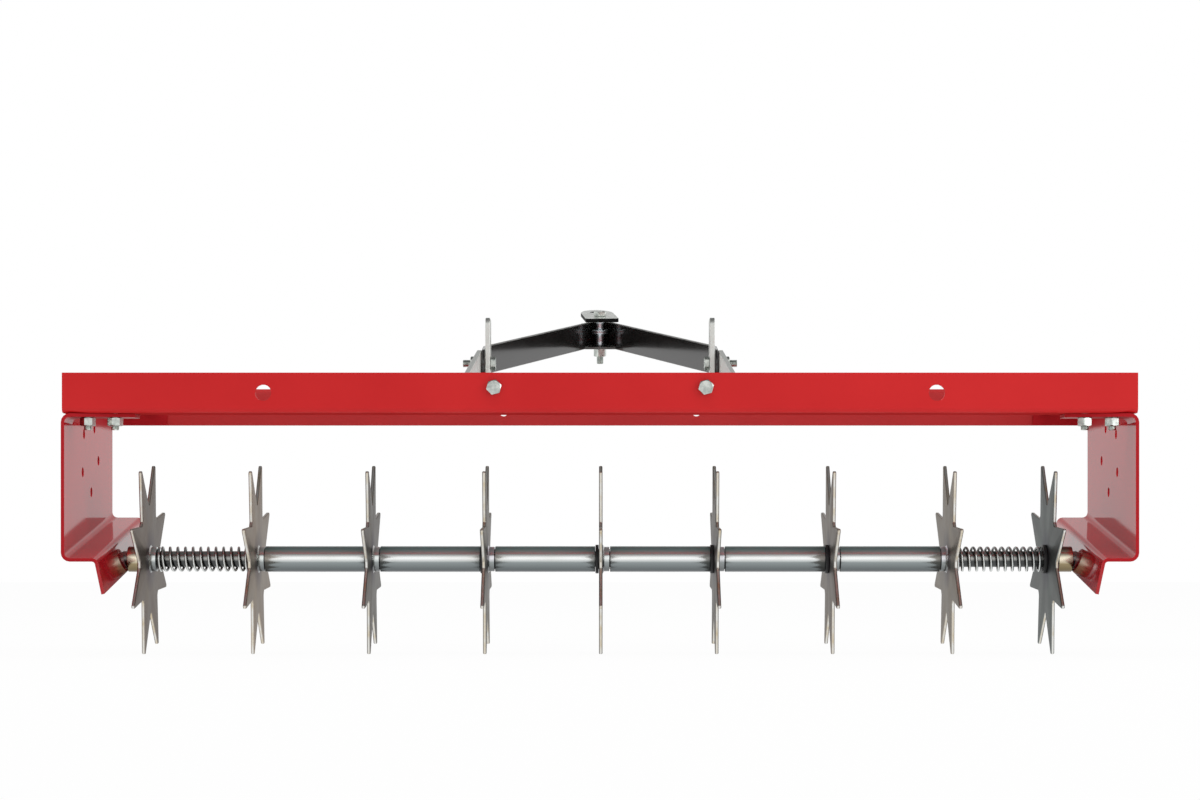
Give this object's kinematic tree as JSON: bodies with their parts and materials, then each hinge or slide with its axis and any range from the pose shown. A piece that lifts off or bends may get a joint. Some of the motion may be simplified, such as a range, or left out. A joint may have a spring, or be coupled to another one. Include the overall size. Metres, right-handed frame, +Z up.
{
  "type": "spike aerator",
  "caption": "Tow-behind lawn spike aerator: star wheels on a sprung axle under a folded steel frame with a tipping V tongue and a swivelling hitch plate.",
  "frame": {"origin": "centre of the footprint on the ground, under the middle of the bounding box", "axes": "+X to the machine's right seen from behind, along the axle; +Y the way it is towed; +Z up"},
  "size_m": [1.018, 0.6144, 0.387],
  "materials": {
    "red_powder_coat": "gloss",
    "galvanised": "satin",
    "zinc_bolt": "satin",
    "star_steel": "satin",
    "tube_steel": "satin",
    "spring_steel": "satin",
    "yellow_zinc": "satin",
    "black_nylon": "matte",
    "black_paint": "gloss"
  },
  "bodies": {
    "frame": {"rear_rail": "red_powder_coat", "front_rail": "red_powder_coat", "end_bracket_left": "red_powder_coat", "end_bracket_right": "red_powder_coat", "brace_left": "galvanised", "brace_right": "galvanised", "hitch_bracket_left": "galvanised", "hitch_bracket_right": "galvanised", "rear_bracket_bolt_1": "zinc_bolt", "rear_bracket_bolt_2": "zinc_bolt", "rear_bracket_bolt_3": "zinc_bolt", "rear_bracket_bolt_4": "zinc_bolt", "front_bracket_bolt_1": "zinc_bolt", "front_bracket_bolt_2": "zinc_bolt", "front_bracket_bolt_3": "zinc_bolt", "front_bracket_bolt_4": "zinc_bolt", "brace_bolt_left": "zinc_bolt", "brace_bolt_right": "zinc_bolt", "foot_bolt_left": "zinc_bolt", "foot_bolt_right": "zinc_bolt", "pivot_bolt_left": "zinc_bolt", "pivot_bolt_right": "zinc_bolt", "axle": "tube_steel", "spacer_tube_1": "tube_steel", "spacer_tube_2": "tube_steel", "spacer_tube_3": "tube_steel", "spacer_tube_4": "tube_steel", "spacer_tube_5": "tube_steel", "spacer_tube_6": "tube_steel", "spring_left": "spring_steel", "spring_right": "spring_steel", "axle_cotter_left": "spring_steel", "axle_cotter_right": "spring_steel", "axle_bushing_left": "yellow_zinc", "axle_bushing_right": "yellow_zinc"},
    "wheel_1": {"star_wheel_1": "star_steel", "hub_bush_1": "black_nylon"},
    "wheel_2": {"star_wheel_2": "star_steel", "hub_bush_2": "black_nylon"},
    "wheel_3": {"star_wheel_3": "star_steel", "hub_bush_3": "black_nylon"},
    "wheel_4": {"star_wheel_4": "star_steel", "hub_bush_4": "black_nylon"},
    "wheel_5": {"star_wheel_5": "star_steel", "hub_bush_5": "black_nylon"},
    "wheel_6": {"star_wheel_6": "star_steel", "hub_bush_6": "black_nylon"},
    "wheel_7": {"star_wheel_7": "star_steel", "hub_bush_7": "black_nylon"},
    "wheel_8": {"star_wheel_8": "star_steel", "hub_bush_8": "black_nylon"},
    "wheel_9": {"star_wheel_9": "star_steel", "hub_bush_9": "black_nylon"},
    "tongue": {"tongue": "black_paint", "hitch_bolt": "zinc_bolt", "hitch_sleeve_lower": "tube_steel", "hitch_sleeve_upper": "tube_steel", "hitch_washer": "tube_steel"},
    "hitch_plate": {"hitch_plate": "galvanised"}
  },
  "joints": [
    {"name": "wheel_1_spin", "type": "hinge", "parent": "frame", "child": "wheel_1", "pos_m": [-0.44724, -0.18109, 0.09342], "axis": [1, 0, 0], "continuous": true},
    {"name": "wheel_2_spin", "type": "hinge", "parent": "frame", "child": "wheel_2", "pos_m": [-0.34035, -0.18109, 0.09342], "axis": [1, 0, 0], "continuous": true},
    {"name": "wheel_3_spin", "type": "hinge", "parent": "frame", "child": "wheel_3", "pos_m": [-0.22665, -0.18109, 0.09342], "axis": [1, 0, 0], "continuous": true},
    {"name": "wheel_4_spin", "type": "hinge", "parent": "frame", "child": "wheel_4", "pos_m": [-0.11295, -0.18109, 0.09342], "axis": [1, 0, 0], "continuous": true},
    {"name": "wheel_5_spin", "type": "hinge", "parent": "frame", "child": "wheel_5", "pos_m": [0.00075, -0.18109, 0.09342], "axis": [1, 0, 0], "continuous": true},
    {"name": "wheel_6_spin", "type": "hinge", "parent": "frame", "child": "wheel_6", "pos_m": [0.11445, -0.18109, 0.09342], "axis": [1, 0, 0], "continuous": true},
    {"name": "wheel_7_spin", "type": "hinge", "parent": "frame", "child": "wheel_7", "pos_m": [0.22815, -0.18109, 0.09342], "axis": [1, 0, 0], "continuous": true},
    {"name": "wheel_8_spin", "type": "hinge", "parent": "frame", "child": "wheel_8", "pos_m": [0.34555, -0.18109, 0.09342], "axis": [1, 0, 0], "continuous": true},
    {"name": "wheel_9_spin", "type": "hinge", "parent": "frame", "child": "wheel_9", "pos_m": [0.44354, -0.18109, 0.09342], "axis": [1, 0, 0], "continuous": true},
    {"name": "tongue_tip", "type": "hinge", "parent": "frame", "child": "tongue", "pos_m": [0, -0.04409, 0.29741], "axis": [1, 0, 0], "range_deg": [-38, 20]},
    {"name": "hitch_plate_swivel", "type": "hinge", "parent": "tongue", "child": "hitch_plate", "pos_m": [0, 0.23445, 0.36888], "axis": [0, -0.1874, 0.9823], "range_deg": [-60, 60]}
  ]
}
